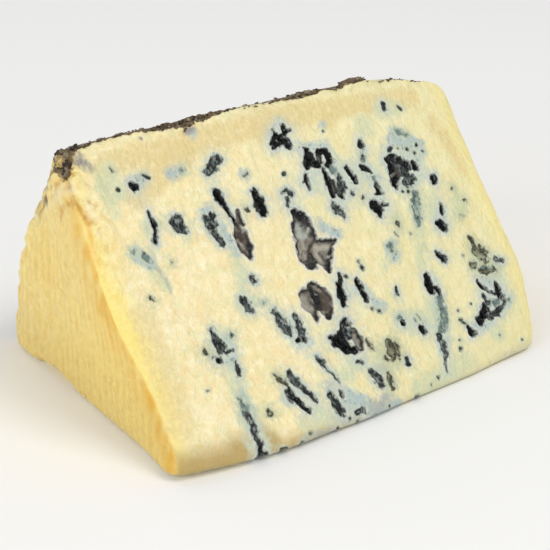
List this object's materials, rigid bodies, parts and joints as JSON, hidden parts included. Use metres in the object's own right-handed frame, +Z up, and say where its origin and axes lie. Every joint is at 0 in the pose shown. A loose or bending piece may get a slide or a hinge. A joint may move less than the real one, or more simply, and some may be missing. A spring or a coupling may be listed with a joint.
{
  "type": "blue cheese wedge",
  "caption": "Wedge cut from a small upright wheel of blue cheese, lying on a cut face, with mould pockets in both cut faces and a thin crusty rind.",
  "frame": {"origin": "middle of the bounding box, on the surface the wedge lies on", "axes": "+Z up; +X along the wheel's axis, from the left end to the right end; +Y from the blunt front edge towards the rind"},
  "size_m": [0.0947, 0.0702, 0.0531],
  "materials": {
    "cheese_paste": "moist creamy paste with a soft sheen, blue-black mould in the pockets",
    "cheese_rind": "dry brown-grey crust with pale bloom"
  },
  "bodies": {
    "root": {"cheese_wedge": "cheese_paste"}
  },
  "joints": []
}
